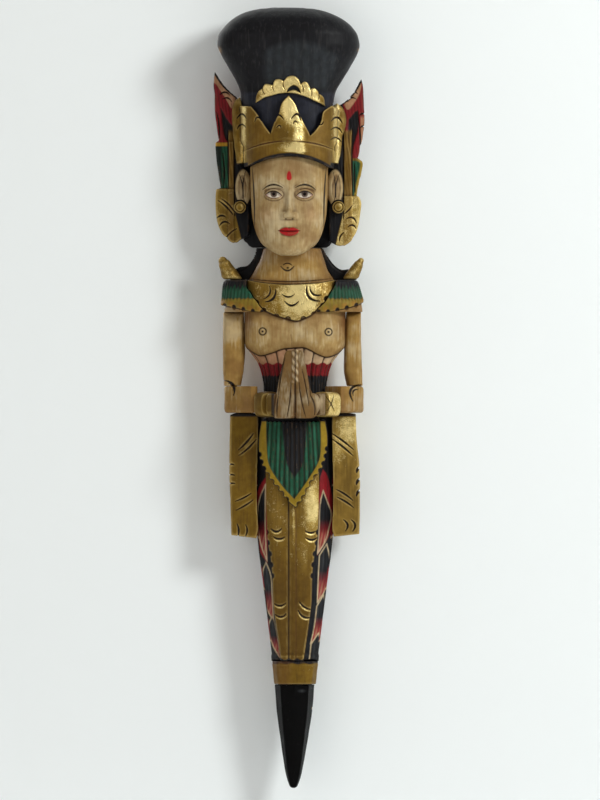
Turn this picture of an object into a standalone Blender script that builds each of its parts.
"""Carved and painted wooden rod puppet: a praying figure with a tall headdress and a pointed foot.

The trunk is pegged together from carved blocks. A central rod runs up through it from the spike
to the headdress, so that turning the spike turns the head. Each upper arm swings fore and aft on
a shoulder pin, and each forearm turns on an upright pin in the end of its upper arm.

Every size below is in millimetres, and each mesh is scaled to metres as it is made. The origin is
the foot of the spike, on the rod's axis. +Z is up, the figure faces -Y, and its own left is +X.
"""

import math

import bmesh
import bpy
from mathutils import Matrix, Vector

METRES = 0.001
GLUE_GAP = 0.3  # between pieces that are glued or rest on each other
SIDES = {"left": 1, "right": -1}

SQUARENESS = 2.6  # of a section that doesn't state its own

# Central rod, spike and ferrule
ROD_RADIUS = 6.0
ROD_BORE = 6.4
ROD_BOTTOM, ROD_TOP = 36.0, 520.0
SPIKE_TOP = 79.6
SPIKE_FACETS = 8
SPIKE_PROFILE = ((16.2, SPIKE_TOP), (14.6, 60.0), (11.6, 40.0), (8.0, 22.0), (4.4, 8.0), (1.6, 0.0))
SPIKE_PIN_Z, SPIKE_PIN_RADIUS, SPIKE_PIN_HALF_LENGTH = 62.0, 1.6, 13.1
FERRULE_BOTTOM, FERRULE_TOP = 80.0, 98.0
SPIGOT_RADIUS = 12.0

# Trunk. A section is height, half width, front, back and, if given, its own squareness and middle.
FERRULE = ((FERRULE_BOTTOM, 16.0, -14.6, 14.8, 3.2), (FERRULE_TOP, 17.8, -16.0, 16.4, 3.2))
WAIST = 287.0
BACK_PLANE = 16.0
LOWER_BODY = (
    (FERRULE_TOP + GLUE_GAP, 17.4, -15.5, 16.0),
    (125, 20.6, -17.0, 17.0),
    (160, 25.0, -19.0, 18.0),
    (193, 29.0, -20.5, 19.0),
    (225, 30.5, -21.0, 19.0),
    (WAIST - GLUE_GAP, 29.0, -20.5, 19.0),
)
TORSO = (
    (WAIST, 26.0, -19.5, 17.0),
    (309, 26.4, -18.5, 16.5),
    (325, 28.0, -19.0, 17.0),
    (338, 33.5, -22.0, 18.0),
    (350, 38.2, -24.0, 19.0),
    (366, 38.8, -22.5, 19.0),
    (379, 37.8, -20.5, 18.0),
    (389, 33.5, -19.5, 17.0, SQUARENESS, -1.5),
    (398, 27.8, -19.0, 16.5, SQUARENESS, -4.0),
    (406, 24.4, -20.0, 16.0, SQUARENESS, -4.6),
    (415, 22.0, -20.0, 15.5, SQUARENESS, -4.2),
)
APRON_THICKNESS = 4.0
APRON_OUTLINE = ((26, 282.5), (27, 262), (24, 246), (14, 230), (0, 215.5))
HIP_OUTLINE = ((22, 193), (49, 193), (50, 240), (48.5, 282), (45, 286.5), (22, 286.5))
HIP_FRONT, HIP_BACK = -10.0, 13.0
COLLAR_THICKNESS = 3.0
COLLAR_OUTLINE = ((34, 390.5), (33, 382), (27.5, 375.5), (20.5, 368.5), (11.5, 363.5), (0, 361))
CAPE_OUTLINE = ((24, 366), (24, 389), (36, 392.5), (46, 390), (53.5, 388), (56.3, 374), (55.5, 366))
CAPE_FRONT, CAPE_BACK = -26.5, 20.0
NAPE_OUTLINE = (
    (-50, 389.8), (-36, 393.2), (36, 393.2), (47, 390.4), (48, 396), (42, 399.5), (35, 398.8), (29, 404),
    (22.5, 415.4), (-30.5, 415.4), (-33, 406), (-37, 401.6), (-43, 401), (-50.5, 397),
)
NAPE_FRONT, NAPE_BACK = 3.0, 21.0
HORN_BASE, HORN_TIP = Vector((44.6, -4.0, 387.5)), Vector((53.4, -4.0, 409.0))
HORN_RADII = (5.4, 2.4)
HORN_SHIFT = Vector((-2.4, 0, 0))  # both horns stand a little to the figure's right

# Head group, whose middle stands a little to the figure's right of the rod
HEAD_X = -4.5
HEAD_TOP = 497.0
JAW = (
    (409.5, 9.0, -38.0, -27.5),
    (413.0, 14.0, -40.0, -27.2),
    (415.4, 17.0, -40.5, -27.0),
    (415.7, 21.0, -41.0, 8.0),
)
HEAD = JAW + (
    (425, 25.5, -41.5, 9.0),
    (440, 28.6, -41.0, 9.0),
    (460, 29.6, -40.0, 9.0),
    (480, 29.8, -38.5, 9.0),
    (HEAD_TOP, 29.0, -36.0, 9.0),
)
HAIR = (
    (416.5, 30.0, 9.3, 19.0, 4),
    (430, 40.0, 9.3, 22.0, 4),
    (465, 43.0, 9.3, 24.0, 4),
    (500, 41.0, 9.3, 24.0, 4),
    (527, 33.0, 9.3, 22.0, 4),
)
HEADDRESS = (
    (HEAD_TOP + GLUE_GAP, 32.5, -34.0, 20.0),
    (515, 33.0, -34.5, 23.0),
    (530, 34.8, -34.0, 24.0),
    (545, 39.0, -34.5, 24.5),
    (558, 46.0, -36.0, 25.0),
    (568, 52.5, -38.5, 25.5),
    (575, 54.2, -39.5, 26.0),
    (585, 52.5, -38.0, 25.5),
    (593, 46.0, -33.0, 22.5),
    (598, 34.0, -25.0, 17.0),
    (600, 18.0, -14.0, 9.0),
)
EAR_CENTRE, EAR_RADII = Vector((35.0, -7.6, 462.0)), Vector((6.4, 4.0, 14.5))
EARRING = (Vector((37.8, -14.0, 446.5)), Vector((37.8, -5.0, 446.5)))
EARRING_RADIUS = 5.4
CROWN_THICKNESS = 4.0
CROWN_BACK = -3.2
CROWN_INNER = (
    (474, 30.8, -39.8, 20.0, 3),
    (492, 31.2, -38.6, 20.0, 3),
    (496.5, 33.6, -37.6, 20.0, 3),
    (516, 33.8, -36.4, 20.0, 3),
    (540, 38.6, -36.0, 20.0, 3),
)
CROWN_OUTLINE = (
    (0, 535), (4.5, 524), (11, 519), (13, 508), (19, 504), (25, 509), (31, 519), (45, 521),
    (45, 477), (30, 479), (18, 482), (0, 484),
)
COLUMN_RADIUS, COLUMN_X, COLUMN_Y = 4.9, 40.4, -8.5
COLUMN_BOTTOM, COLUMN_TOP = 478.0, 531.0
DIADEM_THICKNESS = 3.0
DIADEM_OUTLINE = ((0, 548), (9, 546.5), (18, 541), (25, 533), (26.5, 527), (22, 527), (12, 534), (0, 537))
WING_OUTLINE = (
    (31, 421), (37, 418.5), (46, 424), (52.5, 436), (54.5, 452), (53, 460), (56, 491), (54.6, 502),
    (56.2, 529), (57, 548.5), (52, 542), (46, 536), (39, 532), (36.4, 529), (36.4, 500), (32, 480),
)
WING_FRONT, WING_BACK = -2.5, 9.0

# Arms, described for the figure's left
SHOULDER = Vector((47.0, 0.0, 355.5))
UPPER_HALF_WIDTH, UPPER_RADIUS = 7.5, 9.0
UPPER_BOTTOM = 309.7
FORE_TOP, FORE_BOTTOM = 309.0, 288.6
FORE_RADIUS = 9.0
FORE_YAW = math.radians(-131.6)  # the forearm's direction in plan: inwards and forwards
FORE_END, BRACELET_END = 27.0, 41.5  # distances from the elbow along the forearm
BRACELET_HALF_WIDTH, BRACELET_BOTTOM, BRACELET_TOP = 8.4, 286.0, 304.5
WRIST_Z = 297.0
PRAYING_HANDS = (
    (283.8, 18.4, -50.0, -29.0, 3.2),
    (293, 18.2, -50.5, -29.0, 3.2),
    (308, 15.0, -48.5, -29.5, 3.2),
    (322, 11.2, -45.5, -30.5, 3.2),
    (331, 8.4, -43.0, -32.0, 3.2),
    (334.0, 5.2, -41.0, -34.0, 3.2),
)
PALM_X = 0.35

# Pegs, from start to end; those off the middle line are described for the figure's left
PIN_RADIUS, PIN_HOLE = 2.4, 2.8
HIP_DOWEL = (Vector((20, 0, 240)), Vector((41, 0, 240)))
APRON_DOWEL = (Vector((0, -22.5, 262)), Vector((0, -10.5, 262)))
WAIST_DOWEL = (Vector((16, 0, WAIST - 15)), Vector((16, 0, WAIST + 15)))
SHOULDER_PIN = (Vector((27, SHOULDER.y, SHOULDER.z)), Vector((50.5, SHOULDER.y, SHOULDER.z)))
ELBOW_PIN = (Vector((SHOULDER.x, SHOULDER.y, 297)), Vector((SHOULDER.x, SHOULDER.y, 324)))
HAIR_DOWEL = (Vector((17, 0, 450)), Vector((17, 19, 450)))  # from the middle of the head
WING_DOWEL = (Vector((37.5, 2, 470)), Vector((37.5, 19, 470)))  # from the middle of the head
WRIST_DOWEL_GRIP = (10.0, 7.0)  # how far it goes into the forearm and into the hand
EDGE_BEVEL = 2.2
WING_BEVEL = 1.5

LOFT_POINTS = 28
ROD_POINTS = 24
PEG_POINTS = 14
HOLE_CLEAR = 0.5  # a blind hole is this much deeper than its peg
PAST = 5.0  # how far a cutter runs past the surface that it opens
FAR = 80.0  # reach of a cutter that goes right through
SHARP_ANGLE = math.radians(35)

PAINTS = {
    "flesh_paint": ((0.56, 0.38, 0.19), 0.55, 0.0),
    "gold_leaf": ((0.48, 0.30, 0.06), 0.38, 0.6),
    "black_paint": ((0.015, 0.015, 0.017), 0.45, 0.0),
    "black_lacquer": ((0.010, 0.010, 0.011), 0.15, 0.0),
    "green_paint": ((0.03, 0.16, 0.12), 0.5, 0.0),
    "bare_wood": ((0.55, 0.38, 0.22), 0.7, 0.0),
}


def clear_scene():
    for obj in list(bpy.data.objects):
        bpy.data.objects.remove(obj)


def new_collection(name):
    made = bpy.data.collections.new(name)
    bpy.context.scene.collection.children.link(made)
    return made


def make_paints():
    made = {}
    for name, (colour, roughness, metallic) in PAINTS.items():
        paint = bpy.data.materials.new(name)
        paint.use_nodes = True
        shader = paint.node_tree.nodes["Principled BSDF"]
        shader.inputs["Base Color"].default_value = (*colour, 1.0)
        shader.inputs["Roughness"].default_value = roughness
        shader.inputs["Metallic"].default_value = metallic
        made[name] = paint
    return made


def object_from(bm, name, paint=None):
    """A part if it has a paint, or else a hidden cutter. The mesh is scaled to metres here."""
    bmesh.ops.recalc_face_normals(bm, faces=bm.faces)
    if bm.calc_volume(signed=True) < 0:
        bmesh.ops.reverse_faces(bm, faces=bm.faces)
    bm.transform(Matrix.Scale(METRES, 4))
    mesh = bpy.data.meshes.new(name)
    bm.to_mesh(mesh)
    bm.free()
    obj = bpy.data.objects.new(name, mesh)
    if paint:
        mesh.materials.append(paints[paint])
        mesh.shade_smooth()
        mesh.set_sharp_from_angle(angle=SHARP_ANGLE)
        puppet.objects.link(obj)
    else:
        obj.hide_render = True
        obj.display_type = "WIRE"
        cutters.objects.link(obj)
    return obj


def combine(obj, operation, other):
    modifier = obj.modifiers.new(other.name, "BOOLEAN")
    modifier.operation = operation
    modifier.object = other


def cut(obj, *others):
    for other in others:
        combine(obj, "DIFFERENCE", other)


def bevel(obj, width):
    modifier = obj.modifiers.new("rounded_edges", "BEVEL")
    modifier.width = width * METRES
    modifier.segments = 1
    modifier.limit_method = "ANGLE"


def ring_of(section, centre_x):
    """The points of one rounded section of a loft."""
    z, half_width, front, back, *own = section
    power = 2 / (own[0] if own else SQUARENESS)
    if len(own) > 1:
        centre_x += own[1]
    middle, half_depth = (front + back) / 2, (back - front) / 2
    points = []
    for step in range(LOFT_POINTS):
        angle = 2 * math.pi * (step + 0.5) / LOFT_POINTS
        across, along = math.cos(angle), math.sin(angle)
        x = half_width * math.copysign(abs(across) ** power, across)
        y = half_depth * math.copysign(abs(along) ** power, along)
        points.append(Vector((centre_x + x, middle + y, z)))
    return points


def loft(sections, centre_x=0.0):
    bm = bmesh.new()
    rings = [[bm.verts.new(p) for p in ring_of(s, centre_x)] for s in sections]
    for low, high in zip(rings, rings[1:]):
        for i in range(LOFT_POINTS):
            j = (i + 1) % LOFT_POINTS
            bm.faces.new((low[i], low[j], high[j], high[i]))
    bm.faces.new(rings[0])
    bm.faces.new(rings[-1])
    return bm


def grown(sections, by, ends=0.0):
    """The same sections, wider and deeper, with both ends reaching further by the given amount."""
    made = [[z, w + by, front - by, back + by, *own] for z, w, front, back, *own in sections]
    made[0][0] -= ends
    made[-1][0] += ends
    return made


def taper(start, end, start_radius, end_radius, points=PEG_POINTS):
    bm = bmesh.new()
    line = end - start
    bmesh.ops.create_cone(
        bm,
        cap_ends=True,
        segments=points,
        radius1=start_radius,
        radius2=end_radius,
        depth=line.length,
    )
    turn = Vector((0, 0, 1)).rotation_difference(line).to_matrix().to_4x4()
    bm.transform(Matrix.Translation((start + end) / 2) @ turn)
    return bm


def peg(start, end, radius, points=PEG_POINTS):
    return taper(start, end, radius, radius, points)


def upright_peg(x, y, bottom, top, radius, points=PEG_POINTS):
    return peg(Vector((x, y, bottom)), Vector((x, y, top)), radius, points)


def block(low, high, matrix=Matrix()):
    bm = bmesh.new()
    low, high = Vector(low), Vector(high)
    bmesh.ops.create_cube(bm, size=1.0)
    bm.transform(matrix @ Matrix.Translation((low + high) / 2) @ Matrix.Diagonal((*(high - low), 1)))
    return bm


def prism(outline, start, end, matrix):
    """A flat outline made as a filled 2D curve, standing from start to end along its own Z axis."""
    curve = bpy.data.curves.new("outline", "CURVE")
    curve.dimensions = "2D"
    curve.fill_mode = "BOTH"
    curve.extrude = (end - start) / 2
    spline = curve.splines.new("POLY")
    spline.points.add(len(outline) - 1)
    for point, (x, y) in zip(spline.points, outline):
        point.co = (x, y, 0, 1)
    spline.use_cyclic_u = True
    obj = bpy.data.objects.new("outline", curve)
    bpy.context.scene.collection.objects.link(obj)
    graph = bpy.context.evaluated_depsgraph_get()
    mesh = bpy.data.meshes.new_from_object(obj.evaluated_get(graph))
    bm = bmesh.new()
    bm.from_mesh(mesh)
    bmesh.ops.remove_doubles(bm, verts=bm.verts, dist=0.001)
    bm.transform(matrix @ Matrix.Translation((0, 0, (start + end) / 2)))
    bpy.data.objects.remove(obj)
    bpy.data.meshes.remove(mesh)
    return bm


def board(outline, front, back, centre_x=0.0):
    """An outline in the front view, from the front plane to the back plane."""
    upright = Matrix(((1, 0, 0, centre_x), (0, 0, 1, 0), (0, 1, 0, 0), (0, 0, 0, 1)))
    return prism(outline, front, back, upright)


def both_halves(outline):
    """Closes a half outline, listed from one end on the middle line to the other, by mirroring it."""
    mirrored = [(-x, z) for x, z in reversed(outline) if x > 0]
    return list(outline) + mirrored


def sided(outline, side):
    return [(side * x, z) for x, z in outline]


def on_side(point, side):
    return Vector((side * point.x, point.y, point.z))


def beside_head(point, side):
    """A point given from the middle of the head, on one side."""
    return on_side(point, side) + Vector((HEAD_X, 0, 0))


def skin(name, paint, inner, thickness, outline, centre_x=0.0, back=0.0):
    """A curved plate that lies on a lofted form: the form's front, thickened, inside a front outline."""
    plate = object_from(loft(grown(inner, thickness), centre_x), name, paint)
    inside = object_from(loft(grown(inner, 0, ends=PAST), centre_x), name + "_inside")
    window = object_from(board(outline, -FAR, back, centre_x), name + "_window")
    combine(plate, "INTERSECT", window)
    cut(plate, inside)
    return plate


def make_rod_bore(bottom, top):
    return object_from(upright_peg(0, 0, bottom, top, ROD_BORE, ROD_POINTS), "rod_bore")


def make_peg(name, start, end, *hosts):
    """A peg, and its hole in each piece that holds it or turns on it."""
    made = object_from(peg(start, end, PIN_RADIUS), name, "bare_wood")
    reach = (end - start).normalized() * HOLE_CLEAR
    drill = object_from(peg(start - reach, end + reach, PIN_HOLE), name + "_hole")
    for host in hosts:
        cut(host, drill)
    return made


def make_rod_and_spike():
    rod = object_from(
        upright_peg(0, 0, ROD_BOTTOM, ROD_TOP, ROD_RADIUS, ROD_POINTS), "central_rod", "bare_wood"
    )
    spike = make_spike()
    cut(spike, make_rod_bore(ROD_BOTTOM - HOLE_CLEAR, SPIKE_TOP + PAST))
    middle, across = Vector((0, 0, SPIKE_PIN_Z)), Vector((1, 0, 0))
    half_length = across * SPIKE_PIN_HALF_LENGTH
    pin = peg(middle - half_length, middle + half_length, SPIKE_PIN_RADIUS)
    hole = peg(middle - across * FAR, middle + across * FAR, SPIKE_PIN_RADIUS + GLUE_GAP)
    drill = object_from(hole, "spike_pin_hole")
    cut(rod, drill)
    cut(spike, drill)
    return [rod, spike, object_from(pin, "spike_pin", "bare_wood")]


def make_spike():
    """The faceted point, which ends in a small flat foot: a profile turned in eight steps."""
    bm = bmesh.new()
    profile = [(0.0, SPIKE_TOP), *SPIKE_PROFILE, (0.0, 0.0)]
    points = [bm.verts.new((x, 0, z)) for x, z in profile]
    for high, low in zip(points, points[1:]):
        bm.edges.new((high, low))
    spike = object_from(bm, "spike", "black_lacquer")
    screw = spike.modifiers.new("turned", "SCREW")
    screw.steps = screw.render_steps = SPIKE_FACETS
    screw.use_merge_vertices = True
    screw.merge_threshold = 0.00001
    spike.rotation_euler.z = math.pi / SPIKE_FACETS
    return spike


def make_lower_body():
    body = object_from(loft(LOWER_BODY), "lower_body", "gold_leaf")
    bottom = FERRULE_BOTTOM + GLUE_GAP
    spigot = upright_peg(0, 0, bottom, FERRULE_TOP + 2 * PAST, SPIGOT_RADIUS, ROD_POINTS)
    combine(body, "UNION", object_from(spigot, "spigot"))
    behind = block((-FAR, BACK_PLANE, bottom - PAST), (FAR, FAR, WAIST + PAST))
    cut(body, object_from(behind, "flat_back"))
    cut(body, make_rod_bore(bottom - PAST, WAIST + PAST))
    return body


def make_ferrule():
    ferrule = object_from(loft(FERRULE), "ferrule", "gold_leaf")
    bottom, top = FERRULE_BOTTOM - PAST, FERRULE_TOP + PAST
    hole = upright_peg(0, 0, bottom, top, SPIGOT_RADIUS + GLUE_GAP, ROD_POINTS)
    cut(ferrule, object_from(hole, "ferrule_hole"))
    return ferrule


def make_torso():
    torso = object_from(loft(TORSO), "torso", "flesh_paint")
    cut(torso, make_rod_bore(WAIST - PAST, TORSO[-1][0] + PAST))
    return torso


def make_hip_panels(lower_body):
    body_room = object_from(loft(grown(LOWER_BODY, GLUE_GAP, ends=PAST)), "lower_body_room")
    made = []
    for name, side in SIDES.items():
        panel = object_from(
            board(sided(HIP_OUTLINE, side), HIP_FRONT, HIP_BACK), f"hip_panel_{name}", "gold_leaf"
        )
        bevel(panel, EDGE_BEVEL)
        cut(panel, body_room)
        ends = [on_side(end, side) for end in HIP_DOWEL]
        made += [panel, make_peg(f"hip_dowel_{name}", *ends, panel, lower_body)]
    return made


def make_apron(lower_body):
    inner = grown(LOWER_BODY, GLUE_GAP)
    outline = both_halves(APRON_OUTLINE)
    apron = skin("apron", "green_paint", inner, APRON_THICKNESS, outline)
    return [apron, make_peg("apron_dowel", *APRON_DOWEL, apron, lower_body)]


def make_collar_and_capes():
    """The collar lies on the chest, the capes fill the space beside it, and each carries a horn."""
    inner = grown(TORSO, GLUE_GAP)
    made = [skin("collar", "gold_leaf", inner, COLLAR_THICKNESS, both_halves(COLLAR_OUTLINE))]
    lowered = [(x + GLUE_GAP, z - GLUE_GAP) for x, z in COLLAR_OUTLINE]
    open_top = (lowered[0][0], COLLAR_OUTLINE[0][1] + PAST)
    collar_room = object_from(
        board(both_halves([open_top, *lowered]), -FAR, GLUE_GAP), "collar_room"
    )
    torso_room = object_from(loft(grown(TORSO, GLUE_GAP, ends=PAST)), "torso_room")
    for name, side in SIDES.items():
        outline = sided(CAPE_OUTLINE, side)
        cape = object_from(board(outline, CAPE_FRONT, CAPE_BACK), f"cape_{name}", "green_paint")
        bevel(cape, EDGE_BEVEL)
        cut(cape, torso_room, collar_room)
        raised = [(x, z + GLUE_GAP) for x, z in outline]
        base, tip = [on_side(end, side) + HORN_SHIFT for end in (HORN_BASE, HORN_TIP)]
        horn = taper(base, tip, *HORN_RADII)
        horn = object_from(horn, f"horn_{name}", "gold_leaf")
        cut(horn, object_from(board(raised, -FAR, FAR), f"horn_seat_{name}"))
        made += [cape, horn]
    nape = board(NAPE_OUTLINE, NAPE_FRONT, NAPE_BACK)
    nape = object_from(nape, "nape_board", "black_paint")
    cut(nape, torso_room)
    return made + [nape]


def make_waist_dowels(lower_body, torso):
    made = []
    for name, side in SIDES.items():
        ends = [on_side(end, side) for end in WAIST_DOWEL]
        made.append(make_peg(f"waist_dowel_{name}", *ends, lower_body, torso))
    return made


def make_head():
    head = object_from(loft(HEAD, HEAD_X), "head", "flesh_paint")
    for name, side in SIDES.items():
        ear = bmesh.new()
        bmesh.ops.create_uvsphere(ear, u_segments=12, v_segments=8, radius=1.0)
        place = Matrix.Translation(beside_head(EAR_CENTRE, side))
        ear.transform(place @ Matrix.Diagonal((*EAR_RADII, 1)))
        combine(head, "UNION", object_from(ear, f"ear_{name}"))
    cut(head, make_rod_bore(HEAD[0][0] - PAST, HEAD_TOP + PAST))
    return head


def make_headdress(head):
    hair = object_from(loft(HAIR, HEAD_X), "hair_back", "black_paint")
    headdress = object_from(loft(HEADDRESS, HEAD_X), "headdress", "black_paint")
    room = object_from(loft(grown(HAIR, GLUE_GAP, ends=GLUE_GAP), HEAD_X), "hair_room")
    cut(headdress, room, make_rod_bore(HEAD_TOP - PAST, ROD_TOP + HOLE_CLEAR))
    inner = grown(HEADDRESS, GLUE_GAP)
    diadem = skin(
        "diadem", "gold_leaf", inner, DIADEM_THICKNESS, both_halves(DIADEM_OUTLINE), HEAD_X
    )
    made = [hair, headdress, diadem]
    for name, side in SIDES.items():
        ends = [beside_head(end, side) for end in HAIR_DOWEL]
        made.append(make_peg(f"hair_dowel_{name}", *ends, head, hair))
    return made


def make_crown():
    crown = skin(
        "crown",
        "gold_leaf",
        CROWN_INNER,
        CROWN_THICKNESS,
        both_halves(CROWN_OUTLINE),
        HEAD_X,
        CROWN_BACK,
    )
    for name, side in SIDES.items():
        x = HEAD_X + side * COLUMN_X
        column = upright_peg(x, COLUMN_Y, COLUMN_BOTTOM, COLUMN_TOP, COLUMN_RADIUS)
        combine(crown, "UNION", object_from(column, f"crown_column_{name}"))
    return crown


def make_wings(hair):
    made = []
    for name, side in SIDES.items():
        wing = board(sided(WING_OUTLINE, side), WING_FRONT, WING_BACK, HEAD_X)
        wing = object_from(wing, f"wing_{name}", "gold_leaf")
        bevel(wing, WING_BEVEL)
        ends = [beside_head(end, side) for end in WING_DOWEL]
        made += [wing, make_peg(f"wing_dowel_{name}", *ends, wing, hair)]
    return made


def make_earrings(head):
    made = []
    for name, side in SIDES.items():
        start, end = [beside_head(end, side) for end in EARRING]
        earring = object_from(peg(start, end, EARRING_RADIUS), f"earring_{name}", "gold_leaf")
        made.append(earring)
        deeper = end + Vector((0, HOLE_CLEAR, 0))
        room = peg(start, deeper, EARRING_RADIUS + GLUE_GAP)
        cut(head, object_from(room, f"earring_room_{name}"))
    return made


def arc(centre, radius, start, end, steps=8):
    """Points on an arc between two angles in degrees."""
    angles = [math.radians(start + (end - start) * i / steps) for i in range(steps + 1)]
    return [(centre[0] + radius * math.cos(a), centre[1] + radius * math.sin(a)) for a in angles]


def make_upper_arm(name, side):
    """A side view outline with a round top about the shoulder pin, standing across the figure."""
    top = arc((0, SHOULDER.z), UPPER_RADIUS, 0, 180)
    outline = [(UPPER_RADIUS, UPPER_BOTTOM), *top, (-UPPER_RADIUS, UPPER_BOTTOM)]
    sideways = Matrix(((0, 0, 1, side * SHOULDER.x), (1, 0, 0, 0), (0, 1, 0, 0), (0, 0, 0, 1)))
    arm = object_from(
        prism(outline, -UPPER_HALF_WIDTH, UPPER_HALF_WIDTH, sideways),
        f"upper_arm_{name}",
        "flesh_paint",
    )
    bevel(arm, EDGE_BEVEL)
    return arm


def forearm_frame(side):
    """The forearm's own frame at the elbow: X runs towards the hand, and Z is up."""
    direction = Vector((side * math.cos(FORE_YAW), math.sin(FORE_YAW), 0))
    across = Vector((0, 0, 1)).cross(direction)
    frame = Matrix((direction, across, Vector((0, 0, 1)))).transposed().to_4x4()
    return Matrix.Translation(Vector((side * SHOULDER.x, SHOULDER.y, 0))) @ frame


def make_forearm(name, side):
    """A plan outline with a round end about the elbow pin, a bracelet block and a hand."""
    frame = forearm_frame(side)
    end = arc((0, 0), FORE_RADIUS, 90, 270)
    outline = [*end, (FORE_END, -FORE_RADIUS + 0.4), (FORE_END, FORE_RADIUS - 0.4)]
    forearm = object_from(
        prism(outline, FORE_BOTTOM, FORE_TOP, frame), f"forearm_{name}", "flesh_paint"
    )
    bevel(forearm, EDGE_BEVEL)
    half = BRACELET_HALF_WIDTH
    start = FORE_END + GLUE_GAP
    ring = [(start, -half), (BRACELET_END, -half), (BRACELET_END, half), (start, half)]
    bracelet = object_from(
        prism(ring, BRACELET_BOTTOM, BRACELET_TOP, frame), f"bracelet_{name}", "gold_leaf"
    )
    bevel(bracelet, EDGE_BEVEL)
    hand = object_from(loft(PRAYING_HANDS), f"hand_{name}", "flesh_paint")
    low, high = PRAYING_HANDS[0][0] - PAST, PRAYING_HANDS[-1][0] + PAST
    wrist_room = block((-FAR, -FAR, low), (BRACELET_END + GLUE_GAP, FAR, high), frame)
    cut(hand, object_from(wrist_room, f"wrist_room_{name}"))
    x_low, x_high = sorted((side * PALM_X, -side * FAR))
    other_palm = block((x_low, -FAR, low), (x_high, FAR, high))
    cut(hand, object_from(other_palm, f"other_palm_{name}"))
    into_forearm, into_hand = WRIST_DOWEL_GRIP
    start = frame @ Vector((FORE_END - into_forearm, 0, WRIST_Z))
    end = frame @ Vector((BRACELET_END + into_hand, 0, WRIST_Z))
    dowel = make_peg(f"wrist_dowel_{name}", start, end, forearm, bracelet, hand)
    return [forearm, bracelet, hand, dowel]


def make_arm(name, side, torso):
    """Returns the shoulder pin, the upper arm's pieces and the forearm's pieces."""
    upper = make_upper_arm(name, side)
    forearm, *outer = make_forearm(name, side)
    ends = [on_side(end, side) for end in SHOULDER_PIN]
    shoulder_pin = make_peg(f"shoulder_pin_{name}", *ends, torso, upper)
    ends = [on_side(end, side) for end in ELBOW_PIN]
    elbow_pin = make_peg(f"elbow_pin_{name}", *ends, upper, forearm)
    return shoulder_pin, [upper, elbow_pin], [forearm, *outer]


def make_pivot(name, position, parent, pieces):
    """An empty on a joint's axis that carries the pieces which move with it."""
    pivot = bpy.data.objects.new(name, None)
    puppet.objects.link(pivot)
    pivot.matrix_world = Matrix.Translation(position * METRES)
    hang_from(pivot, parent)
    bpy.context.view_layer.update()
    for piece in pieces:
        hang_from(piece, pivot)
    return pivot


def hang_from(obj, parent):
    if parent:
        obj.parent = parent
        obj.matrix_parent_inverse = parent.matrix_world.inverted()


def make_puppet():
    lower_body, torso = make_lower_body(), make_torso()
    trunk = [lower_body, torso, make_ferrule()]
    trunk += make_hip_panels(lower_body)
    trunk += make_apron(lower_body)
    trunk += make_collar_and_capes()
    trunk += make_waist_dowels(lower_body, torso)
    root = make_pivot("trunk", Vector((0, 0, 0)), None, trunk)

    head = make_head()
    crest = make_headdress(head)
    turning = [head, *crest, make_crown(), *make_wings(crest[0]), *make_earrings(head)]
    turning += make_rod_and_spike()
    make_pivot("head_turn", Vector((0, 0, TORSO[-1][0])), root, turning)

    for name, side in SIDES.items():
        pin, upper, fore = make_arm(name, side, torso)
        hang_from(pin, root)
        swing = make_pivot(f"shoulder_{name}", on_side(SHOULDER, side), root, upper)
        elbow = Vector((side * SHOULDER.x, SHOULDER.y, FORE_TOP))
        make_pivot(f"elbow_{name}", elbow, swing, fore)


clear_scene()
puppet = new_collection("rod_puppet")
cutters = new_collection("cutters")
cutters.hide_render = True
paints = make_paints()
make_puppet()
